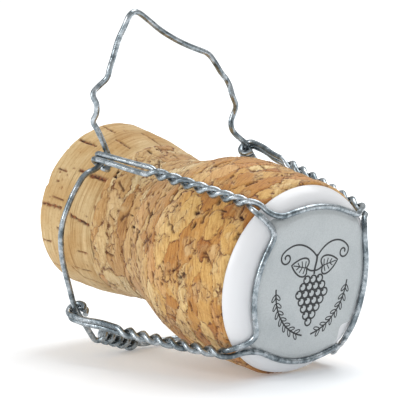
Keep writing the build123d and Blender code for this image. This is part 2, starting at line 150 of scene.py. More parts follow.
def soft_noise(points, size, seed):
    """From 0 to 1: random values on a cubic lattice with cells of a size in millimetres, blended
    between the eight corners of a cell by the smooth step 3t^2 - 2t^3 along each direction."""
    table = np.random.default_rng(seed).random(table_size)
    scaled = points / np.asarray(size, float)
    cell = np.floor(scaled).astype(np.int64)
    share = scaled - cell
    share = share * share * (3 - 2 * share)
    total = np.zeros(points.shape[:-1])
    for corner in itertools.product((0, 1), repeat=3):
        x, y, z = np.moveaxis((cell + corner) * hash_primes, -1, 0)
        value = table[(x ^ y ^ z) & (table_size - 1)]
        total += value * np.where(corner, share, 1 - share).prod(-1)
    return total


def step(value, low, high):
    """0 below low, 1 above high, and the smooth step between them; low may be the higher."""
    share = np.clip((value - low) / (high - low), 0, 1)
    return share * share * (3 - 2 * share)


print("soft noise at every third of a cell:",
      soft_noise(np.arange(7)[:, None] * (1.0, 0.0, 0.0), 3.0, 1).round(2))

# %% [markdown]
# ## One way to add a node
#
# Every finish below is a small tree of nodes, and the granules of the body are worked out by
# nodes too. One function adds a node, sets its properties and fills or links its inputs, and
# another turns an sRGB hex value into the linear colour that Blender's shaders work in.

# %% Colours and nodes
def linear(code):
    """Each channel c of an sRGB hex value as ((c + 0.055) / 1.055)^2.4, or c / 12.92 when dark."""
    channels = [int(code[k:k + 2], 16) / 255 for k in (1, 3, 5)]
    return (*[c / 12.92 if c <= 0.04045 else ((c + 0.055) / 1.055) ** 2.4 for c in channels], 1.0)


def fill(tree, node, inputs):
    """Give a node's inputs their values, or link them to the sockets that are given for them."""
    for key, value in inputs.items():
        if isinstance(value, bpy.types.NodeSocket):
            tree.links.new(value, node.inputs[key])
        else:
            node.inputs[key].default_value = value


def add(tree, kind, inputs=None, out=0, stops=(), **settings):
    """Add a node and give one of its outputs. settings are its properties, inputs are values or
    sockets to link from, and stops are the places of a colour ramp with their hex colours."""
    node = tree.nodes.new(kind if "Node" in kind else "ShaderNode" + kind)
    for key, value in settings.items():
        setattr(node, key, value)
    fill(tree, node, inputs or {})
    if stops:
        elements = node.color_ramp.elements
        while len(elements) < len(stops):
            elements.new(0.5)
        for element, (place, code) in zip(elements, stops):
            element.position = place
            element.color = linear(code)
    return node.outputs[out]


multiplied = {"operation": "MULTIPLY"}
softly = {"interpolation_type": "SMOOTHSTEP"}
colours = {"data_type": "RGBA", "out": 2}
tinted = {"data_type": "RGBA", "blend_type": "MULTIPLY", "out": 2}


def new_material(name):
    """A material whose tree holds only the Principled shader and its output."""
    material = bpy.data.materials.new(name)
    material.use_nodes = True
    tree = material.node_tree
    return material, tree, tree.nodes["Principled BSDF"]


print("half of full brightness on screen, #808080, is", round(linear("#808080")[0], 3), "of its light")

# %% [markdown]
# ## The outline of the cork
#
# A cork for sparkling wine starts as a cylinder 30 mm across. The neck squeezes its lower part to
# 18 mm, and after it is drawn that part spreads again, so a waist is left between the foot and
# the head. The outline is one smooth curve through seven places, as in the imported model, and the
# last cell measures it against that model, whose cracks make the largest difference.

# %% The cork's own sizes, in millimetres
foot_radius, foot_round, foot_taper = 13.3, 0.8, 0.45
head_radius, head_inset, head_top, head_round = 15.5, 0.2, 44.3, 0.7
disc_seam, seam_height, ledge_height = 4.8, 11.3, 45.0
top_radius = head_radius - head_inset
least_radius = 11.0  # nothing on the side lies nearer to the axis
side_places = ((foot_radius, foot_round), (foot_radius - foot_taper, 9.0), (11.8, 18.6), (13.75, 24.9),
               (top_radius, 29.8), (head_radius, 37.0), (top_radius, head_top))
print("cork without its boss:", ledge_height, "mm long and", 2 * head_radius, "mm across its head")


# %% Smooth curve through places
def natural_spline(places, count):
    """A cubic through each pair of places, with equal slopes and bends where two meet and no bend
    at the two ends. The parameter is the distance from place to place."""
    places = np.array(places, float)
    knots = np.concatenate([[0], np.cumsum(np.linalg.norm(np.diff(places, axis=0), axis=1))])
    gaps = np.diff(knots)
    size = len(places)
    system = np.eye(size)
    right = np.zeros_like(places)
    slopes = np.diff(places, axis=0) / gaps[:, None]
    for k in range(1, size - 1):
        system[k, k - 1:k + 2] = gaps[k - 1], 2 * (gaps[k - 1] + gaps[k]), gaps[k]
        right[k] = 6 * (slopes[k] - slopes[k - 1])
    bends = np.linalg.solve(system, right)
    at = np.linspace(0, knots[-1], count)
    k = np.clip(np.searchsorted(knots, at, side="right") - 1, 0, size - 2)
    gap = gaps[k][:, None]
    low = (knots[k + 1] - at)[:, None] / gap
    high = 1 - low
    curve = low * places[k] + high * places[k + 1]
    return curve + ((low**3 - low) * bends[k] + (high**3 - high) * bends[k + 1]) * gap**2 / 6


side_curve = natural_spline(side_places, 400)


def side_radius(height):
    """The radius of the cork's side at a height, read from the smooth curve."""
    return np.interp(height, side_curve[:, 1], side_curve[:, 0])


print("radius at the waist:", side_curve[:, 0].min().round(2), "mm")

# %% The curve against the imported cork
packed_mesh = frame["nodes"]["cork_body"].data
packed = np.empty(len(packed_mesh.vertices) * 3, np.float32)
packed_mesh.vertices.foreach_get("co", packed)
packed = (packed.reshape(-1, 3) - foot_centre) @ own_axes.T / millimetre
packed_radius, packed_height = np.hypot(packed[:, 0], packed[:, 1]), packed[:, 2]
on_side = ((packed_height > seam_height + 0.2) & (packed_height < head_top - 0.3)
           & (packed_radius > least_radius))
packed_gap = np.abs(side_radius(packed_height) - packed_radius)[on_side].max()
print("side differs from the packed one by at most", round(float(packed_gap), 2), "mm")

# %% [markdown]
# ## The pressed granules of the body
#
# Agglomerated cork is granules of 2 to 5 mm, glued and pressed, then turned and sanded. Each
# granule springs back by its own amount, so it stands a little in or out, and many borders are
# open. The granules are Voronoi cells bent by noise. A mesh could be dented by one such pattern
# and painted by another, but then they would disagree. So one function builds the cells in any
# node tree: a geometry tree gives them to the mesh here, and the finish below paints the same ones.

# %% The cork's axis for patterns, and its granules
per_metre = 1 / millimetre
granule_size, granule_bend = (5.6, 5.6, 2.5), 2.6
crumb_size, crumb_bend = (2.0, 2.0, 1.0), 1.2
crumbled_patch, opened_patch = 3.5, 0.9


def axis_place(tree, place):
    """A place in metres taken to millimetres, and turned so that z runs along the cork's axis."""
    long = add(tree, "VectorMath", {"Vector": place, "Scale": per_metre}, operation="SCALE")
    return add(tree, "VectorRotate", {"Vector": long, "Angle": -(math.pi / 2 + dip)},
               rotation_type="Y_AXIS")


def granule_cells(tree, place, size, bend):
    """Voronoi cells of a size along x, y and z on a place bent by noise, in millimetres. Gives a
    random colour for each cell, and the distance to its border as a share of the size."""
    shift = add(tree, "TexNoise", {"Vector": place, "Scale": 1 / bend, "Detail": 3.0,
                                   "Roughness": 0.65}, out="Color")
    centred = add(tree, "VectorMath", {0: shift, 1: (0.5, 0.5, 0.5)}, operation="SUBTRACT")
    moved = add(tree, "VectorMath", {0: centred, 1: (bend, bend, bend), 2: place},
                operation="MULTIPLY_ADD")
    scaled = add(tree, "VectorMath", {0: moved, 1: tuple(1 / length for length in size)}, **multiplied)
    return (add(tree, "TexVoronoi", {"Vector": scaled, "Scale": 1.0}, out="Color"),
            add(tree, "TexVoronoi", {"Vector": scaled, "Scale": 1.0}, feature="DISTANCE_TO_EDGE"))


def pressed_granules(tree, place):
    """Sockets of the whole pattern: tone and border of the granules and of the crumbs, where
    granules have broken into crumbs, and how far borders stand open."""
    granule, granule_border = granule_cells(tree, place, granule_size, granule_bend)
    crumb, crumb_border = granule_cells(tree, place, crumb_size, crumb_bend)
    patches = add(tree, "TexNoise", {"Vector": place, "Scale": 1 / crumbled_patch, "Detail": 2.0})
    crumbled = add(tree, "MapRange", {"Value": patches, "From Min": 0.51, "From Max": 0.6}, **softly)
    gate = add(tree, "TexNoise", {"Vector": place, "Scale": 1 / opened_patch, "Detail": 3.0,
                                  "Roughness": 0.6})
    opened = add(tree, "MapRange", {"Value": gate, "From Min": 0.42, "From Max": 0.62,
                                    "To Min": 0.22, "To Max": 0.95}, **softly)
    return {"granule": granule, "granule_border": granule_border, "crumb": crumb,
            "crumb_border": crumb_border, "crumbled": crumbled, "opened": opened}


print("granules:", granule_size[0], "mm round the cork and", granule_size[2], "mm along it")


# %% Reading the pattern at the points of a mesh
def pattern_at(points):
    """Arrays of the pattern at points on the cork: a cloud of vertices is given to a geometry
    tree that stores each socket as an attribute, and the attributes are read back."""
    cloud = bpy.data.meshes.new("pattern_points")
    cloud.vertices.add(points.size // 3)
    cloud.vertices.foreach_set("co", laid(points).astype(np.float32).ravel())
    holder = new_object("pattern_points", cloud)
    tree = bpy.data.node_groups.new("granule_pattern", "GeometryNodeTree")
    for way in ("INPUT", "OUTPUT"):
        tree.interface.new_socket("Geometry", in_out=way, socket_type="NodeSocketGeometry")
    shape = add(tree, "NodeGroupInput")
    sockets = pressed_granules(tree, axis_place(tree, add(tree, "GeometryNodeInputPosition")))
    for name, socket in sockets.items():
        kind = "FLOAT_VECTOR" if socket.type == "RGBA" else "FLOAT"
        shape = add(tree, "GeometryNodeStoreNamedAttribute",
                    {"Geometry": shape, "Name": name, "Value": socket}, data_type=kind)
    fill(tree, tree.nodes.new("NodeGroupOutput"), {0: shape})
    holder.modifiers.new("granule_pattern", "NODES").node_group = tree
    read = holder.evaluated_get(bpy.context.evaluated_depsgraph_get()).data
    arrays = {}
    for name in sockets:
        layer = read.attributes[name]
        width, field = (3, "vector") if layer.data_type == "FLOAT_VECTOR" else (1, "value")
        values = np.empty(len(layer.data) * width, np.float32)
        layer.data.foreach_get(field, values)
        arrays[name] = values.reshape(points.shape[:-1] + ((3,) if width == 3 else ()))
    bpy.data.objects.remove(holder)
    bpy.data.meshes.remove(cloud)
    bpy.data.node_groups.remove(tree)
    return arrays


# %% [markdown]
# ## Seams, cracks and folds of the body
#
# The saw that cut the body tore granules out of its edge, so its seam with the disc is ragged.
# Cracks run between granules all over it, and the neck has left folds round the waist. Each of
# these is a share from 0 to 1 at every point of the grid, and the mesh is sunk by its share of
# a depth. The same shares are kept as attributes, so the finish can darken these places with painted
# shade.

# %% Where the granules meet the disc
seam_ring, seam_fade = 12.6, 2.0
seam_strays = ((2.2, 0.9, 51), (0.7, 0.5, 52))


def seam_shift(angle, height):
    """How far the seam of body and disc strays from its height: coarse and fine noise along a
    ring, each a size, a reach and a seed, faded out within 2 mm above and below the seam."""
    ring = cork_frame(seam_ring, angle, 0.0)
    stray = sum((soft_noise(ring, size, seed) - 0.5) * reach for size, reach, seed in seam_strays)
    return stray * step(np.abs(height - seam_height), seam_fade, 0.0)


print("seam strays by up to",
      np.abs(seam_shift(np.radians(np.arange(360)), seam_height)).max().round(2), "mm")

# %% Dents along short lines
least_share, share_swing, flank_share = 0.35, 1.1, 0.45


def unevenness(points):
    """What makes torn edges uneven: coarse noise plus 0.35 times a finer one."""
    return soft_noise(points, 0.45, 21) + 0.35 * soft_noise(points, 0.2, 22)


def along_line(angle, height, radius, line, rough):
    """Share from 0 to 1 of being inside a channel: the distance to a short line from one angle
    and height to another, against a half width that a rough array makes uneven."""
    first_angle, first_height, last_angle, last_height, width = line
    x = ((angle - math.radians(first_angle) + math.pi) % (2 * math.pi) - math.pi) * radius
    z = height - first_height
    run = math.radians(last_angle - first_angle) * radius
    rise = last_height - first_height
    share = np.clip((x * run + z * rise) / (run * run + rise * rise), 0, 1)
    distance = np.hypot(x - share * run, z - share * rise)
    half = width / 2 * (least_share + share_swing * rough)
    return step(distance, half, half * flank_share)


crack_count, crack_turn, crack_margin, crack_width = 72, 137.5, 1.4, 0.5
crack_lengths = (2.4, 1.5, 3.1, 1.9, 2.7)
crack_tilts = (-20, 35, 5, 60, -45, 15, 80)


def crack_lines():
    """The larger cracks of the body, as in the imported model: heights evenly spaced, angles by the
    golden angle, and lengths and tilts that come round in turn."""
    lowest, highest = seam_height + crack_margin, head_top - crack_margin
    for number in range(crack_count):
        height = lowest + (highest - lowest) * (number + 0.5) / crack_count
        tilt = math.radians(crack_tilts[number % len(crack_tilts)])
        half = crack_lengths[number % len(crack_lengths)] / 2
        reach = math.degrees(half * math.cos(tilt) / side_radius(height))
        rise = half * math.sin(tilt)
        angle = crack_turn * number
        yield angle - reach, height - rise, angle + reach, height + rise, crack_width


print("cracks:", crack_count)

# %% The outline of the body, row by row
body_columns, body_side_rows, hidden_rows = 400, 190, 8
pole_gap = 0.6
# The boss under the cap, as radius and height above the ledge
boss_outline = ((14.3, 0.02), (13.9, 0.9), (13.2, 1.8), (12.5, 2.42), (10.62, 2.42),
                (10.42, 3.25), (7.0, 3.42), (3.5, 3.5), (pole_gap, 3.52))


def outline_grid(line, columns):
    """Arrays of angle, radius and height: each place of an outline is a row carried once round."""
    angles = np.linspace(0, 2 * math.pi, columns, endpoint=False)
    angle, radius = np.meshgrid(angles, line[:, 0])
    return angle, radius, np.repeat(line[:, 1:], columns, axis=1)


low_cap = np.stack([np.linspace(pole_gap, side_radius(seam_height) - pole_gap, hidden_rows),
                    np.full(hidden_rows, seam_height)], -1)
side_heights = np.linspace(seam_height, head_top, body_side_rows)
side_line = np.stack([side_radius(side_heights), side_heights], -1)
turns = np.radians(np.linspace(15, 90, 6))
head_edge = np.stack([top_radius - head_round + head_round * np.cos(turns),
                      head_top + head_round * np.sin(turns)], -1)
body_line = np.vstack([low_cap, side_line, head_edge, np.array(boss_outline) + (0, ledge_height)])
angle_grid, radius_grid, height_grid = outline_grid(body_line, body_columns)
height_grid[hidden_rows:] += seam_shift(angle_grid, height_grid)[hidden_rows:]
smooth_points = cork_frame(radius_grid, angle_grid, height_grid)
print("body rows:", len(body_line))

# %% Cracks, wrinkles and pits of the body
warp, warp_size, usual_radius = 0.6, 0.9, 14.0
fold_height, fold_spread, fold_shift = 19.5, 3.4, 3.0
warp_angle = (soft_noise(smooth_points, warp_size, 1) - 0.5) * warp / usual_radius
warp_height = (soft_noise(smooth_points, warp_size, 2) - 0.5) * warp
rough = unevenness(smooth_points)
crack = np.zeros(angle_grid.shape)
for line in crack_lines():
    crack = np.maximum(crack, along_line(angle_grid + warp_angle, height_grid + warp_height,
                                         np.maximum(radius_grid, least_radius), line, rough))
squeeze = np.minimum(np.exp(-(((height_grid - fold_height) / fold_spread) ** 2)) + 0.2, 1)
folds = soft_noise(smooth_points + fold_shift, (3.2, 3.2, 0.62), 7)
fold = step(np.abs(folds - 0.5), 0.07, 0.0) * step(soft_noise(smooth_points, 2.6, 8), 0.4, 0.7) * squeeze
spots = soft_noise(smooth_points, (0.7, 0.7, 0.8), 9)
pit = step(spots, 0.8, 0.88) * step(soft_noise(smooth_points, 4.0, 10), 0.5, 0.65)
lump = soft_noise(smooth_points, 4.5, 12) * 0.6 + soft_noise(smooth_points, 1.4, 13) * 0.4
for name, share in (("cracks", crack), ("folds", fold), ("pits", pit)):
    print(name, "cover", round(100 * float((share > 0.5).mean()), 1), "% of the grid")

# %% The body
crack_depth, fold_depth, pit_depth, lump_depth = 0.28, 0.14, 0.4, 0.22
granule_depth, crumb_depth, border_depth = 0.18, 0.07, 0.15
proud_by, squeezed_proud = 0.07, 0.1
pattern = pattern_at(smooth_points)
level = (granule_depth * pattern["granule"][..., 0]
         + crumb_depth * pattern["crumb"][..., 0] * pattern["crumbled"])
border = np.maximum(step(pattern["granule_border"], 0.08, 0.0),
                    step(pattern["crumb_border"], 0.13, 0.0) * pattern["crumbled"])
proud = proud_by + squeezed_proud * step(height_grid, 34.0, 27.0)
depth = (crack_depth * crack + fold_depth * fold + pit_depth * pit + lump_depth * (lump - 0.5) + level
         + border_depth * border * pattern["opened"] - proud)
side_share = np.where(height_grid < ledge_height - 0.1, 1.0, step(radius_grid, 14.5, 14.9))
side_share[:hidden_rows] = 0
body_points = cork_frame(radius_grid - depth * side_share, angle_grid, height_grid)
body = add_piece("cork_body_granules", body_points, values={"crack": crack, "fold": fold, "pit": pit})
print("deepest place:", round(float((depth * side_share).max()), 2), "mm")

# %% [markdown]
# ## The two discs of natural cork
#
# The discs that meet the wine are punched from sheets of natural cork, so they show growth lines
# that run round the side, and lenticels: dark, crumbly channels that run straight through a disc
# and stop at its seams. The lenticels are dents in the mesh along short lines, broken up by
# noise, and the ones on the near side lie about where a drawn cork like this one has them. The
# foot has swollen out of round on its upper near side, where nothing held it.

# %% The outline of a disc
disc_columns, disc_face_rows, disc_side_rows = 360, 40, 54
disc_pole, inner_margin = 0.4, 0.5


def disc_outline(low, high, is_foot):
    """Radius and height of each row: out over the lower face, round the foot's edge in an arc, up
    the side, and back in over the upper face. Gives them, and the reach of the flat lower face."""
    round_off = foot_round if is_foot else 0.0
    flat = foot_radius - foot_round if is_foot else side_radius(low) - inner_margin
    heights = np.linspace(low + round_off, high, disc_side_rows)
    side = np.stack([side_radius(heights), heights], -1)
    if is_foot:
        turns = np.radians(np.linspace(-80, -5, 6))
        arc = np.stack([flat + round_off * np.cos(turns), low + round_off * (1 + np.sin(turns))], -1)
        side = np.vstack([arc, side])
    under = np.stack([np.linspace(disc_pole, flat, disc_face_rows), np.full(disc_face_rows, low)], -1)
    over = np.stack([np.linspace(side[-1, 0] - pole_gap, disc_pole, hidden_rows),
                     np.full(hidden_rows, high)], -1)
    return np.vstack([under, side, over]), flat


# %% A disc with its lenticels
bar_depth, chip_depth, lump_share, growth_share = 0.3, 0.35, 0.14, 0.05
face_sunk, face_lump, face_bar = 0.03, 0.05, 0.25
swollen_by, swollen_side, swollen_height, face_swollen_height = 0.32, 60, 10.0, 2.5


def disc(name, low, high, is_foot, lines, seed):
    """A disc between two heights of the cork. Its side is sunk by noise and by the lenticels, and
    the foot's face too; the swelling is a smooth step round its side that fades with height."""
    line, flat = disc_outline(low, high, is_foot)
    angle, radius, height = outline_grid(line, disc_columns)
    height[:-hidden_rows] += seam_shift(angle, height)[:-hidden_rows]
    points = cork_frame(radius, angle, height)
    rough = unevenness(points)
    bar = np.zeros(angle.shape)
    for one in lines:
        bar = np.maximum(bar, along_line(angle, height, np.maximum(radius, least_radius), one, rough))
    rim = step(radius, flat - 2.5, flat)
    on_face = height <= low + 0.01
    bar *= np.where(on_face, rim, 1.0)
    spots = step(soft_noise(points, (1.5, 0.6, 3.0), seed + 1), 0.84, 0.92) * (1 - rim) * on_face
    crumb = (step(soft_noise(points, 0.6, seed + 2), 0.80, 0.9)
             * step(soft_noise(points, 3.0, seed + 3), 0.5, 0.66))
    dark = np.maximum(np.maximum(bar, spots), 0.75 * crumb)
    lump = soft_noise(points, (3.0, 3.0, 1.2), seed + 4)
    growth = soft_noise(points, (6.0, 6.0, 0.45), seed + 5)
    swelling = swollen_by * step(np.cos(angle - math.radians(swollen_side)), -0.4, 1.0)
    dent = (lump_share * (lump - 0.5) + growth_share * (growth - 0.5) + bar_depth * dark
            - swelling * step(height, swollen_height, 0.0))
    raised = np.zeros(angle.shape)
    if is_foot:
        chip = step(soft_noise(points, 1.1, seed + 6), 0.62, 0.85)
        dent += chip_depth * chip * step(height, low + 1.1, low + 0.1)
        raised = (face_sunk + face_lump * lump + face_bar * dark) * on_face
        raised -= 0.85 * swelling * step(height, face_swollen_height, 0.0)
    dent[:disc_face_rows] = 0
    dent[-hidden_rows:] = 0
    return add_piece(name, cork_frame(radius - dent, angle, height + raised), values={"bar": dark})


# %% Lenticels: angle and height of one end, of the other end, and the width
outer_lenticels = (
    (83.7, 0.6, 82.5, 4.5, 0.6), (110.3, 0.5, 109.4, 2.6, 0.3), (131.3, 0.5, 130.4, 3.2, 0.3),
    (32.5, 0.9, 31.7, 4.5, 0.5), (12.0, 1.0, 12.6, 4.0, 0.4), (158.0, 0.5, 157.3, 4.5, 0.4),
    (186.0, 0.9, 186.5, 4.4, 0.5), (203.0, 0.6, 203.5, 3.0, 0.3), (231.0, 1.5, 230.3, 4.5, 0.6),
    (262.0, 0.6, 262.9, 3.6, 0.4), (287.0, 0.7, 286.0, 4.5, 0.5), (318.0, 2.1, 318.4, 4.5, 0.4),
    (341.0, 0.6, 340.2, 2.8, 0.5), (58.0, 1.4, 57.6, 3.2, 0.3),
)
inner_lenticels = (
    (53.4, 5.3, 53.4, 7.1, 0.5), (53.9, 7.9, 52.5, 11.0, 0.8), (85.0, 6.9, 87.7, 10.7, 0.5),
    (126.9, 5.8, 136.2, 7.0, 0.3), (136.2, 7.0, 141.2, 10.5, 0.4), (19.0, 6.0, 20.0, 9.5, 0.3),
    (171.0, 5.1, 172.0, 11.0, 0.5), (214.0, 6.6, 212.0, 10.2, 0.4), (246.0, 5.1, 247.0, 8.0, 0.6),
    (273.0, 7.1, 271.6, 11.0, 0.4), (303.0, 5.2, 304.5, 9.9, 0.5), (333.0, 5.1, 333.4, 7.4, 0.4),
    (356.0, 6.2, 357.0, 11.0, 0.4), (110.0, 8.6, 110.6, 10.9, 0.3),
)
hairlines = (
    (77.6, 1.7, 76.7, 4.7, 0.22), (66.3, 2.0, 66.0, 2.4, 0.35), (97.0, 4.2, 97.0, 4.7, 0.5),
    (126.0, 6.4, 127.5, 10.3, 0.2),
)
outer_disc = disc("cork_disc_outer_natural", 0.0, disc_seam, True, outer_lenticels + hairlines, 31)
inner_disc = disc("cork_disc_inner_natural", disc_seam, seam_height, False,
                  inner_lenticels + hairlines, 41)

# %% [markdown]
# ## The pressed cap
#
# The cap is stamped from tinplate 0.2 to 0.3 mm thick: a white lacquered shoulder that turns down
# over the ledge of the cork, and a raised silver face. When the hood was tightened its ring
# of wires sank in beside the face, so the face's edge follows the wires. The surface is a
# profile whose inner part is drawn out or in with the angle, until its edge lies inside them.

# %% Where the ring of wires runs
ring_radii = {"near": 11.9, "bottom": 12.6, "far": 12.15, "top": 12.9}
corner_angles = (39.2, 129.5, 221.5, 311.5)
ring_flattening, corner_radius, corner_shift = 0.45, 15.1, 1.86
# A wire's bend beside a corner: its sweep in degrees, then shares of the sweep and of the drop
sharp = (7.0, ((0.08, 0.78), (0.2, 0.42), (0.5, 0.12), (1.0, 0.0)))
gentle = (14.0, ((0.08, 0.78), (0.22, 0.45), (0.52, 0.14), (1.0, 0.0)))
wire_bends = {"near": sharp, "bottom": gentle, "far": gentle, "top": gentle}


def ring_line():
    """Angle and radius of the wires' middle line on the cap, corner by corner: the radius falls
    from the corner's to the ring's by given shares, and dips a little in the middle of a wire."""
    angles, radii = [], []
    following = corner_angles[1:] + (corner_angles[0] + 360,)
    for (side, ring), corner, next_corner in zip(ring_radii.items(), corner_angles, following):
        sweep, shares = wire_bends[side]
        bend = [(sweep * turn, ring + (corner_radius - ring) * share) for turn, share in shares]
        start = [(corner + corner_shift + turn, radius) for turn, radius in bend]
        end = [(next_corner - corner_shift - turn, radius) for turn, radius in reversed(bend)]
        run = end[0][0] - start[-1][0]
        middle = [(start[-1][0] + run * t, ring - ring_flattening * math.sin(math.pi * t))
                  for t in np.linspace(0, 1, 9)[1:-1]]
        for angle, radius in [(corner, corner_radius)] + start + middle + end:
            angles.append(angle)
            radii.append(radius)
    return np.radians(angles), np.array(radii)


# %% The edge of the face
cap_columns = 600
face_gap, face_widest = 0.56, 13.7
# Corners that hold the face back: the angle, how far, and how wide in degrees
held_corners = ((129.5, 0.2, 9), (226.0, 2.9, 11), (309.0, 1.2, 7))
ring_angles, ring_places = ring_line()
cap_angles = np.linspace(0, 2 * math.pi, cap_columns, endpoint=False)
wire_radius = np.interp(cap_angles, ring_angles, ring_places, period=2 * math.pi)
face_reach = np.full(cap_columns, face_widest)
for corner, drop, width in held_corners:
    turn = (cap_angles - math.radians(corner) + math.pi) % (2 * math.pi) - math.pi
    face_reach -= drop * np.exp(-((turn / math.radians(width)) ** 2))
face_edge = np.minimum(wire_radius - face_gap, face_reach)
window = np.hanning(13)
half = len(window) // 2
face_edge = np.convolve(np.concatenate([face_edge[-half:], face_edge, face_edge[:half]]),
                        window / window.sum(), "valid")
print("face edge from", face_edge.min().round(2), "to", face_edge.max().round(2), "mm")

# %% The cap's skin
ledge_width, sheet = 0.47, 0.3
shoulder_bend, shoulder_drop = 3.5, 0.5
bend_centre = top_radius - ledge_width - math.sqrt(shoulder_bend**2 - shoulder_drop**2)
bend_height = ledge_height - shoulder_drop
face_rise, face_dome, face_settle = 0.65, 0.4, 0.8
pillow_depth, pillow_width = 0.2, 2.2
shoulder_rows, face_rows, rim_lift, edge_margin, face_pole = 26, 46, 0.55, 0.28, 0.25
# Rows of the pressed step: how far outside the face's edge, and the share of the climb
pressed_step = ((0.16, 0.03), (0.09, 0.14), (0.05, 0.34), (0.02, 0.6), (-0.03, 0.8),
                (-0.10, 0.92), (-0.2, 0.98), (-0.34, 1.0))


def shoulder_place(radius, lift):
    """Radius and height on the shoulder: straight up over the flat middle, and square to a
    quarter circle outside it, at the bend's radius plus the lift."""
    out = np.clip((radius - bend_centre) / shoulder_bend, 0, 0.9999)
    tall = np.sqrt(1 - out**2)
    reach = np.where(radius > bend_centre, bend_centre + (shoulder_bend + lift) * out, radius)
    return reach, bend_height + (shoulder_bend + lift) * tall


def face_lift(radius):
    """How far the face stands above the shoulder: less where the shoulder bends away."""
    return face_rise * (1 - face_settle * step(radius, 12.4, face_widest))


def edge_distance(radius):
    """Distance in plan from each place on a row to the nearest place on the face's edge."""
    edge = face_edge * np.exp(1j * cap_angles)
    row = radius * np.exp(1j * cap_angles)
    return np.abs(row[:, None] - edge[None, :]).min(1)


def cap_skin(inset):
    """The outer skin for an inset of 0, the inner one for the sheet's thickness. Shoulder rows run
    from the rim in to the face's edge, step rows climb the pressed edge, and face rows run to
    the middle. The face is a low dome, and it is pillowed: it falls in a parabola near its edge."""
    rows = []
    rim_out = math.cos(math.asin(rim_lift / shoulder_bend))
    edge_out = np.clip((face_edge + edge_margin - bend_centre) / shoulder_bend, 0.02, 0.95)
    for share in np.linspace(0, 1, shoulder_rows):
        out = rim_out + (edge_out - rim_out) * share**1.4
        rows.append(shoulder_place(bend_centre + shoulder_bend * out, -inset))
    for out, climb in pressed_step:
        radius = face_edge + out - inset * climb
        rows.append(shoulder_place(radius, (face_lift(radius) - pillow_depth) * climb - inset))
    step_end = pressed_step[-1][0]
    for share in np.linspace(0, 1, face_rows)[1:]:
        radius = (face_edge + step_end - inset) * (1 - share) + face_pole * share
        fall = pillow_depth * (1 - np.minimum(edge_distance(radius) / pillow_width, 1)) ** 2
        reach, height = shoulder_place(radius, face_lift(radius) - fall - inset)
        rows.append((reach, height + face_dome * (1 - (radius / face_edge) ** 2)))
    return np.array([row[0] for row in rows]), np.array([row[1] for row in rows])


# %% Both skins as one piece, silver inside the fifth row of the pressed step
white_steps = 5
outer_reach, outer_height = cap_skin(0)
inner_reach, inner_height = cap_skin(sheet)
reach = np.vstack([outer_reach[::-1], inner_reach])
height = np.vstack([outer_height[::-1], inner_height])
silver_rows = len(outer_reach) - 1 - (shoulder_rows + white_steps)
row_slots = np.where(np.arange(len(reach) - 1) < silver_rows, 1, 0)
cap = add_piece("cap_pressed", cork_frame(reach, cap_angles[None, :], height), slots=row_slots)
print("cap top at", outer_height.max().round(2), "mm above the foot")

# %% [markdown]
# ## The print on the cap
#
# A cap is printed flat before it is pressed: thin dark lines, here a bunch of grapes under two
# heart-shaped leaves, with tendrils and a pair of sprigs. Lines drawn by a texture would blur, so
# each is a ribbon of ink carried along its path, 0.27 or 0.18 mm wide, lying on the domed face.

# %% Paths and ribbons
line_width, fine_width, ink_height = 0.27, 0.18, 0.02


def curve(start, first, second, end, count=24):
    """A cubic Bezier path between two places, drawn towards two others."""
    t = np.linspace(0, 1, count)[:, None]
    places = [np.array(place, float) for place in (start, first, second, end)]
    return ((1 - t) ** 3 * places[0] + 3 * t * (1 - t) ** 2 * places[1]
            + 3 * t**2 * (1 - t) * places[2] + t**3 * places[3])


def curl(centre, reach, turn, sweep, count=50):
    """A spiral whose radius falls evenly to a fifth while it turns, in degrees, through a sweep."""
    t = np.linspace(0, 1, count)
    radius = reach * (1 - 0.8 * t)
    way = np.radians(turn + sweep * t)
    return np.array(centre) + np.stack([radius * np.cos(way), radius * np.sin(way)], -1)


def turned_by(path, angle):
    """A path turned about the middle: x cos - y sin to the right, and x sin + y cos up."""
    way = math.radians(angle)
    return path @ np.array([[math.cos(way), math.sin(way)], [-math.sin(way), math.cos(way)]])


def face_height(right, up):
    """Height of the domed face above the foot, at a place to the right of and above its middle."""
    edge = np.interp(np.arctan2(-right, up) % (2 * math.pi), cap_angles, face_edge,
                     period=2 * math.pi)
    return (bend_height + shoulder_bend + face_rise
            + face_dome * (1 - (right**2 + up**2) / edge**2))


def ribbon(path, width, closed):
    """Four corners of a flat strip at each place of a path: half the width to each side of it,
    just under and just over the face. Gives the corners and the faces between them."""
    count = len(path)
    if closed:
        along = np.roll(path, -1, axis=0) - np.roll(path, 1, axis=0)
    else:
        along = np.gradient(path, axis=0)
    along /= np.linalg.norm(along, axis=1, keepdims=True)
    side = np.stack([-along[:, 1], along[:, 0]], -1) * width / 2
    flat = np.stack([path + side, path - side, path - side, path + side], 1)
    lift = ink_height * np.array([-1, -1, 1, 1])
    height = face_height(flat[..., 0], flat[..., 1]) + lift
    corners = np.stack([flat[..., 1], -flat[..., 0], height], -1).reshape(-1, 3)
    place = np.arange(count * 4).reshape(count, 4)
    after = np.roll(place, -1, axis=0)
    if not closed:
        place, after = place[:-1], after[:-1]
    quads = np.stack([after, np.roll(after, -1, axis=1), np.roll(place, -1, axis=1), place], -1)
    faces = quads.reshape(-1, 4)
    if not closed:
        last = (count - 1) * 4
        faces = np.vstack([faces, [[0, 1, 2, 3]], [[last + 3, last + 2, last + 1, last]]])
    return corners, faces


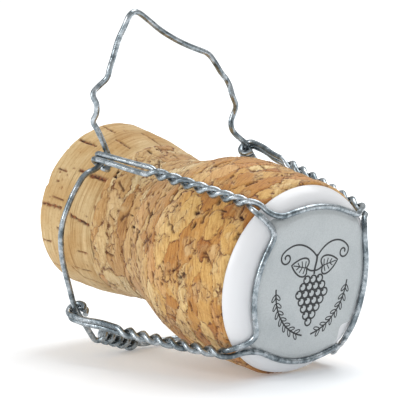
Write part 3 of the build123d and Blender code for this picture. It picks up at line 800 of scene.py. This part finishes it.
# %% Grapes: an outline and a glint for each, and the stem, as path, width and closed or open
full_turn = np.linspace(0, 2 * math.pi, 28, endpoint=False)
circle = np.stack([np.cos(full_turn), np.sin(full_turn)], -1)
grape_radius, grape_line, glint_line = 0.66, 0.93, 0.55
grape_rows = ((3, 1.1), (4, 0.0), (5, -1.15), (4, -2.3), (3, -3.45), (2, -4.6), (1, -5.7))
strokes = []
for grapes, up in grape_rows:
    for k in range(grapes):
        middle = np.array([(k - (grapes - 1) / 2) * 2 * grape_radius, up])
        strokes.append((middle + circle * grape_radius * grape_line, line_width, True))
        strokes.append((middle + circle[9:14] * grape_radius * glint_line, fine_width, False))
strokes.append((curve((0.1, 1.9), (-0.1, 3.0), (0.5, 3.6), (0.3, 5.0)), line_width * 1.4, False))
print("grapes:", sum(grapes for grapes, up in grape_rows))

# %% Leaves: half an outline and its mirror image, with veins from the middle one
half_leaf = curve((-0.25, 0.0), (-1.3, 1.7), (0.9, 2.2), (2.9, 0.0), 30)
leaf = np.vstack([half_leaf, half_leaf[-2:0:-1] * (1, -1)])
veins = [curve((-0.25, 0.0), (0.6, 0.1), (1.4, -0.1), (2.5, 0.0), 12)]
for vein_start, vein_out, vein_side in ((0.0, 0.15, 1.0), (0.6, 1.0, 0.9), (1.2, 1.75, 0.55)):
    for side in (-1, 1):
        veins.append(np.linspace((vein_start, 0.0), (vein_out, vein_side * side), 6))
for hand, lean in ((-1, 168), (1, 12)):
    leaf_middle = np.array([1.95 * hand, 3.1])
    strokes.append((leaf_middle + turned_by(leaf, lean), line_width, True))
    for vein in veins:
        strokes.append((leaf_middle + turned_by(vein, lean), fine_width, False))
    strokes.append((curve((0.15, 2.5), (0.6 * hand, 2.4), (1.1 * hand, 2.6), (1.7 * hand, 3.05), 12),
                    line_width, False))
print("veins in a leaf:", len(veins))

# %% Tendrils and sprigs
for hand, curl_start in ((-1, 142), (1, 38)):
    strokes.append((curve((0.35, 4.6), (2.0 * hand, 7.2), (5.0 * hand, 7.6), (6.8 * hand, 5.6), 40),
                    line_width, False))
    strokes.append((curl((5.9 * hand, 4.9), 1.14, curl_start, -430 * hand), line_width, False))
    sprig = curve((7.4 * hand, 0.2), (7.2 * hand, -3.6), (5.0 * hand, -6.8), (0.9 * hand, -7.8), 40)
    strokes.append((sprig, line_width, False))
    for k in range(3, 38, 5):
        way = math.degrees(math.atan2(*(sprig[k + 1] - sprig[k])[::-1]))
        for slant in (-38, 38):
            blade = np.array([0.62, 0.0]) + circle * (0.62, 0.24)
            strokes.append((sprig[k] + turned_by(blade, way + slant), fine_width, True))

# %% All strokes as one mesh
ribbons = [ribbon(path, width, closed) for path, width, closed in strokes]
starts = np.cumsum([0] + [len(points) for points, quads in ribbons[:-1]])
corners = laid(np.vstack([points for points, quads in ribbons]))
faces = np.vstack([quads + start for (points, quads), start in zip(ribbons, starts)])
print_mesh = bpy.data.meshes.new("cap_print")
print_mesh.from_pydata(corners.tolist(), [], faces.tolist())
print_mesh.update()
cap_print = new_object("cap_print", print_mesh)
first, second, third, fourth = (corners[faces[:, k]] - foot_centre for k in range(4))
inside = (np.einsum("ij,ij->i", first, np.cross(second, third))
          + np.einsum("ij,ij->i", first, np.cross(third, fourth))).sum() / 6
print("cap_print:", len(strokes), "strokes,", 2 * len(faces), "triangles,",
      round(inside / millimetre**3, 2), "mm3 of ink, positive when faces point outwards")

# %% [markdown]
# ## Agglomerated cork
#
# Cork is suberin cells full of air: a matt, warm tan with very little gloss. Sanding leaves torn
# cells on it like a fine dust, which catches light that comes in low, so it has a little sheen.
# Granules from pale straw to orange brown lie side by side with a thin dark line of glue and dust
# between them, darkened further by painted shade where a border stands open. They are the cells
# that dented the mesh, 5.6 mm round the cork and 2.5 mm along it, with crumbs of 2 mm in some
# places, and the bark's own grain runs its own way in each. The part that was in the neck is
# paler than the head.

# %% Cork of pressed granules
granule_cork, tree, shader = new_material("agglomerated_cork_sanded")
place = axis_place(tree, add(tree, "TexCoord", out="Object"))
cells = pressed_granules(tree, place)
crack_shade, fold_shade, pit_shade = (
    add(tree, "Attribute", attribute_name=name, out="Fac") for name in ("crack", "fold", "pit"))
straw = ((0.1, "#BF9660"), (0.28, "#C9A775"), (0.45, "#D1B686"), (0.6, "#D8BF92"), (0.75, "#E5D5AE"),
         (0.9, "#CDA16B"))
gold = ((0.12, "#AE7638"), (0.27, "#BF8B46"), (0.42, "#CFA25D"), (0.58, "#D8B370"), (0.73, "#EBD4A0"),
        (0.88, "#C68842"))
along_axis = add(tree, "SeparateXYZ", {"Vector": place}, out="Z")
in_head = add(tree, "MapRange", {"Value": along_axis, "From Min": -5.0, "From Max": 5.0}, **softly)
straw_tone = add(tree, "ValToRGB", {"Fac": cells["granule"]}, stops=straw)
gold_tone = add(tree, "ValToRGB", {"Fac": cells["granule"]}, stops=gold)
granule_tone = add(tree, "Mix", {0: in_head, 6: straw_tone, 7: gold_tone}, **colours)
crumb_tone = add(tree, "ValToRGB", {"Fac": cells["crumb"]}, stops=straw)
crumb_mix = add(tree, "Mix", {0: 0.45, 6: granule_tone, 7: crumb_tone}, **colours)
base = add(tree, "Mix", {0: cells["crumbled"], 6: granule_tone, 7: crumb_mix}, **colours)
print("tones of granules:", len(straw), "pale and", len(gold), "golden")

# %% Grain and specks
grain_length, grain_width, speck_size, own_shift = 2.2, 0.3, 0.4, 40.0
turn = add(tree, "Math", {0: cells["granule"], 1: 1.2}, **multiplied)
own_place = add(tree, "VectorMath", {0: cells["granule"], 1: (own_shift,) * 3, 2: place},
                operation="MULTIPLY_ADD")
turned_place = add(tree, "VectorRotate", {"Vector": own_place, "Axis": (0.6, 0.5, 0.62), "Angle": turn},
                   rotation_type="AXIS_ANGLE")
grain_place = add(tree, "VectorMath", {
    0: turned_place, 1: (1 / grain_length, 1 / grain_length, 1 / grain_width)}, **multiplied)
grain = add(tree, "TexNoise", {"Vector": grain_place, "Scale": 1.0, "Detail": 4.0, "Roughness": 0.6})
grain_tint = add(tree, "ValToRGB", {"Fac": grain},
                 stops=((0.3, "#C39D6C"), (0.48, "#F0E4D0"), (0.66, "#FFFFFF")))
base = add(tree, "Mix", {0: 0.8, 6: base, 7: grain_tint}, **tinted)
specks = add(tree, "TexNoise", {"Vector": place, "Scale": 1 / speck_size, "Detail": 5.0,
                                "Roughness": 0.75})
speck_tint = add(tree, "ValToRGB", {"Fac": specks},
                 stops=((0.3, "#B59468"), (0.45, "#F4EDDF"), (0.7, "#FFFFFF")))
base = add(tree, "Mix", {0: 0.75, 6: base, 7: speck_tint}, **tinted)
print("grain:", grain_length, "by", grain_width, "mm, specks:", speck_size, "mm")

# %% Dark borders, and painted shade in open borders, cracks, folds and pits
granule_line = add(tree, "MapRange", {"Value": cells["granule_border"], "From Min": 0.045,
                                      "From Max": 0.012}, **softly)
crumb_line = add(tree, "MapRange", {"Value": cells["crumb_border"], "From Min": 0.085,
                                    "From Max": 0.03, "To Max": cells["crumbled"]}, **softly)
lines = add(tree, "Math", {0: granule_line, 1: crumb_line}, operation="MAXIMUM")
# Painted shade: the dark line of glue and dust is darkened more where the border stands open.
lines = add(tree, "Math", {0: lines, 1: cells["opened"]}, **multiplied)
# Painted shade: folds, cracks and pits are darkened as if shadow lay in them.
for darkness, share, colour in ((lines, 1.0, "#653511"), (fold_shade, 0.7, "#6B3D17"),
                                (crack_shade, 0.8, "#4C220D"), (pit_shade, 1.0, "#351309")):
    darkness = add(tree, "Math", {0: darkness, 1: share}, **multiplied)
    base = add(tree, "Mix", {0: darkness, 6: base, 7: linear(colour)}, **colours)
relief = add(tree, "Math", {0: specks, 1: lines}, operation="SUBTRACT")
bump = add(tree, "Bump", {"Strength": 0.6, "Distance": 0.15 * millimetre, "Height": relief})
fill(tree, shader, {"Base Color": base, "Normal": bump, "Roughness": 0.7, "IOR": 1.4,
                    "Sheen Weight": 0.15})
body.data.materials.append(granule_cork)
print("finish:", granule_cork.name)

# %% [markdown]
# ## Natural cork
#
# The discs are one piece of bark, so they are lighter and calmer: growth lines about 0.4 mm apart
# that are stacked along the axis, drawn by a noise squeezed in that direction, with the
# lenticels filled by red brown dust. The pattern is turned to the cork's axis as the granules are.

# %% Cork of one piece
growth_reach, growth_width, broad_size, dust_size = 9.0, 0.42, 6.0, 0.5
natural_cork, tree, shader = new_material("natural_cork_punched")
place = axis_place(tree, add(tree, "TexCoord", out="Object"))
bar_value = add(tree, "Attribute", attribute_name="bar", out="Fac")
squeezed = add(tree, "VectorMath", {
    0: place, 1: (1 / growth_reach, 1 / growth_reach, 1 / growth_width)}, **multiplied)
rings = add(tree, "TexNoise", {"Vector": squeezed, "Scale": 1.0, "Detail": 4.0, "Roughness": 0.6})
base = add(tree, "ValToRGB", {"Fac": rings},
           stops=((0.3, "#A8885A"), (0.42, "#C0A578"), (0.55, "#C9B085"), (0.72, "#D8C097")))
specks = add(tree, "TexNoise", {"Vector": place, "Scale": 1 / speck_size, "Detail": 5.0,
                                "Roughness": 0.7})
speck_tint = add(tree, "ValToRGB", {"Fac": specks},
                 stops=((0.27, "#BF9C70"), (0.42, "#F4EDDF"), (0.7, "#FFFFFF")))
base = add(tree, "Mix", {0: 0.7, 6: base, 7: speck_tint}, **tinted)
broad = add(tree, "TexNoise", {"Vector": place, "Scale": 1 / broad_size, "Detail": 3.0})
broad_tint = add(tree, "ValToRGB", {"Fac": broad}, stops=((0.3, "#E6D0AC"), (0.6, "#FFFFFF")))
base = add(tree, "Mix", {0: 0.9, 6: base, 7: broad_tint}, **tinted)
dust = add(tree, "TexNoise", {"Vector": place, "Scale": 1 / dust_size, "Detail": 3.0})
dust_colour = add(tree, "ValToRGB", {"Fac": dust}, stops=((0.4, "#3E1D10"), (0.6, "#8E5530")))
base = add(tree, "Mix", {0: bar_value, 6: base, 7: dust_colour}, **colours)
bump = add(tree, "Bump", {"Strength": 0.35, "Distance": 0.2 * millimetre, "Height": rings})
fill(tree, shader, {"Base Color": base, "Normal": bump, "Roughness": 0.68, "IOR": 1.4})
for piece in (outer_disc, inner_disc):
    piece.data.materials.append(natural_cork)
print("finish:", natural_cork.name, "with growth lines", growth_width, "mm apart")

# %% [markdown]
# ## Lacquered tinplate
#
# The shoulder is white lacquer baked on tinplate, smooth and softly glossy, with the faint waves
# that a lacquer keeps as it dries. The face is printed with a satin silver lacquer: pale grey,
# with fine aluminium flake that gives a broad, soft highlight in place of a mirror.

# %% White lacquer
lacquer_wave = 0.8
white_lacquer, tree, shader = new_material("white_baked_lacquer")
place = add(tree, "TexCoord", out="Object")
orange_peel = add(tree, "TexNoise", {"Vector": place, "Scale": per_metre / lacquer_wave, "Detail": 2.0})
bump = add(tree, "Bump", {"Strength": 0.04, "Distance": 0.2 * millimetre, "Height": orange_peel})
fill(tree, shader, {"Base Color": linear("#DFE0E2"), "Normal": bump, "Roughness": 0.32, "IOR": 1.5})
print("finish:", white_lacquer.name)

# %% Satin silver lacquer, its flake drawn as coarse as it needs to show
flake_size, rubbed_size = 0.22, 7.0
silver_lacquer, tree, shader = new_material("satin_silver_lacquer")
place = add(tree, "TexCoord", out="Object")
flake = add(tree, "TexNoise", {"Vector": place, "Scale": per_metre / flake_size, "Detail": 3.0,
                               "Roughness": 0.7})
flake_colour = add(tree, "ValToRGB", {"Fac": flake}, stops=((0.35, "#B2B7B8"), (0.6, "#BDC2C3")))
rubbed = add(tree, "TexNoise", {"Vector": place, "Scale": per_metre / rubbed_size, "Detail": 4.0,
                                "Roughness": 0.6})
rubbed_tint = add(tree, "ValToRGB", {"Fac": rubbed}, stops=((0.35, "#EDEFF0"), (0.6, "#FFFFFF")))
face_colour = add(tree, "Mix", {0: 0.8, 6: flake_colour, 7: rubbed_tint}, **tinted)
fill(tree, shader, {"Base Color": face_colour, "Metallic": 0.35, "Roughness": 0.42})
for lacquer in (white_lacquer, silver_lacquer):
    cap.data.materials.append(lacquer)
print("finish:", silver_lacquer.name)

# %% Printing ink, which dries to a soft gloss
ink, tree, shader = new_material("dark_printing_ink")
fill(tree, shader, {"Base Color": linear("#26282A"), "Roughness": 0.45, "IOR": 1.5})
cap_print.data.materials.append(ink)
print("finish:", ink.name)

# %% [markdown]
# ## Galvanised wire
#
# Hood wire is soft steel 0.9 mm thick, drawn and dipped in zinc: dull blue grey, mottled where the
# zinc is thick or thin, and rubbed bright on its high places by the machine that twisted it.

# %% Zinc on drawn steel
mottle_size, scuff_size, dulled_size = 0.9, 0.3, 2.8
zinc_wire, tree, shader = new_material("galvanised_steel_wire")
place = add(tree, "TexCoord", out="Object")
mottle = add(tree, "TexNoise", {"Vector": place, "Scale": per_metre / mottle_size, "Detail": 5.0,
                                "Roughness": 0.65})
zinc = add(tree, "ValToRGB", {"Fac": mottle},
           stops=((0.3, "#596166"), (0.42, "#949DA2"), (0.56, "#B6BDC2"), (0.72, "#DDE2E5")))
scuff = add(tree, "TexNoise", {"Vector": place, "Scale": per_metre / scuff_size, "Detail": 4.0,
                               "Roughness": 0.7})
scuffed = add(tree, "ValToRGB", {"Fac": scuff},
              stops=((0.3, "#6E7276"), (0.42, "#E8EAEB"), (0.6, "#FFFFFF")))
coloured = add(tree, "Mix", {0: 0.5, 6: zinc, 7: scuffed}, **tinted)
dulled = add(tree, "TexNoise", {"Vector": place, "Scale": per_metre / dulled_size, "Detail": 3.0,
                                "Roughness": 0.6})
dulled_tint = add(tree, "ValToRGB", {"Fac": dulled},
                  stops=((0.38, "#A9B0B4"), (0.48, "#E4E8E9"), (0.56, "#FFFFFF")))
coloured = add(tree, "Mix", {0: 1.0, 6: coloured, 7: dulled_tint}, **tinted)
rubbed_smooth = add(tree, "MapRange", {"Value": mottle, "From Min": 0.3, "From Max": 0.75,
                                       "To Min": 0.36, "To Max": 0.2})
bump = add(tree, "Bump", {"Strength": 0.3, "Distance": 0.08 * millimetre, "Height": scuff})
fill(tree, shader, {"Base Color": coloured, "Roughness": rubbed_smooth, "Normal": bump,
                    "Metallic": 0.9})
wire_nodes = [name for name in frame["nodes"] if "wire" in name or name == "tie_loop"]
for name in wire_nodes:
    for slot in frame["nodes"][name].material_slots:
        slot.material = zinc_wire
print("wires:", sorted(wire_nodes))

# %% [markdown]
# ## Who moves with whom
#
# The cork and its discs are glued together and slide out of the hood. The cap slides by itself,
# and its print moves with it.

# %% Bodies and replaced nodes
for piece, body_name, node, slot_name in (
        (body, "cork", "cork_body", "agglomerated_cork"),
        (inner_disc, "cork", "cork_disc_inner", "natural_cork"),
        (outer_disc, "cork", "cork_disc_outer", "natural_cork"),
        (cap, "cap", "cap_plaque", "cap_tinplate")):
    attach(piece, body_name)
    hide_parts(node)
    print(piece.name, "rides on", body_name)
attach(cap_print, "cap")

# %% [markdown]
# ## Floor, light and camera
#
# A packshot: white floor that runs out of sight, a white room, one large soft light high behind
# the cork for the bright edges of the wire, a weaker one low in front on the left for its shaded
# side, and a long lens from 8 degrees above the floor. The floor glows a little, and more further
# out, so that it fades into the white of the room.

# %% Floor
floor_half = 3.0
floor_mesh = bpy.data.meshes.new("studio_floor")
floor_mesh.from_pydata([(-floor_half, -floor_half, 0), (floor_half, -floor_half, 0),
                        (floor_half, floor_half, 0), (-floor_half, floor_half, 0)], [], [(0, 1, 2, 3)])
floor = new_object("studio_floor", floor_mesh)
floor_paint, tree, shader = new_material("studio_floor_white")
distance = add(tree, "VectorMath", {0: add(tree, "TexCoord", out="Object")}, operation="LENGTH",
               out="Value")
glow = add(tree, "MapRange", {"Value": distance, "From Min": 0.05, "From Max": 0.22,
                              "To Min": 0.18, "To Max": 0.5})
fill(tree, shader, {"Base Color": linear("#F0F3F6"), "Roughness": 0.6,
                    "Emission Color": linear("#FFFFFF"), "Emission Strength": glow})
floor_mesh.materials.append(floor_paint)
print("floor:", 2 * floor_half, "m wide")

# %% Room
world = bpy.data.worlds.new("white_room")
bpy.context.scene.world = world
world.use_nodes = True
tree = world.node_tree
rise = add(tree, "SeparateXYZ", {"Vector": add(tree, "TexCoord", out="Generated")}, out="Z")
room = add(tree, "MapRange", {"Value": rise, "From Min": 0.0, "From Max": 0.8,
                              "To Min": 0.5, "To Max": 0.62})
fill(tree, tree.nodes["Background"], {"Color": linear("#FFFFFF"), "Strength": room})


# %% Lights
def look_from(item, place, away):
    """Put a lamp or the camera at a place so that it looks against a direction, away from what it
    sees. Its level axis is the cross product of up and that direction, and its top the next."""
    away = np.array(away, float) / np.linalg.norm(away)
    side = np.cross((0.0, 0.0, 1.0), away)
    side /= np.linalg.norm(side)
    matrix = np.eye(4)
    matrix[:3] = np.stack([side, np.cross(away, side), away, place], 1)
    item.matrix_world = Matrix(matrix.tolist())


lit_place = np.array([0.0, 0.0, 0.02])
for name, place, size, power in (("key_softbox", (-0.03, 0.20, 0.42), 0.34, 1.35),
                                 ("fill_softbox", (-0.12, -0.50, 0.22), 0.25, 1.3)):
    lamp = bpy.data.lights.new(name, "AREA")
    lamp.size = size
    lamp.energy = power
    look_from(new_object(name, lamp), place, np.array(place) - lit_place)
    print(name, "is", size, "m wide and gives", power, "W")

# %% Camera
image_width, focal_pixels, sensor_width = 415, 3518.27, 36.0
camera_place = (0.4047, -0.3640, 0.1011)
azimuth, elevation = math.radians(-42.038), math.radians(8.0)
camera_away = (math.cos(elevation) * math.cos(azimuth), math.cos(elevation) * math.sin(azimuth),
               math.sin(elevation))
camera_data = bpy.data.cameras.new("packshot_camera")
camera_data.sensor_fit = "HORIZONTAL"
camera_data.sensor_width = sensor_width
camera_data.lens = focal_pixels * sensor_width / image_width
camera_data.clip_start = 0.01
camera = new_object("packshot_camera", camera_data)
look_from(camera, camera_place, camera_away)
bpy.context.scene.camera = camera
bpy.context.scene.view_settings.view_transform = "Standard"
print("lens:", round(camera_data.lens, 1), "mm")
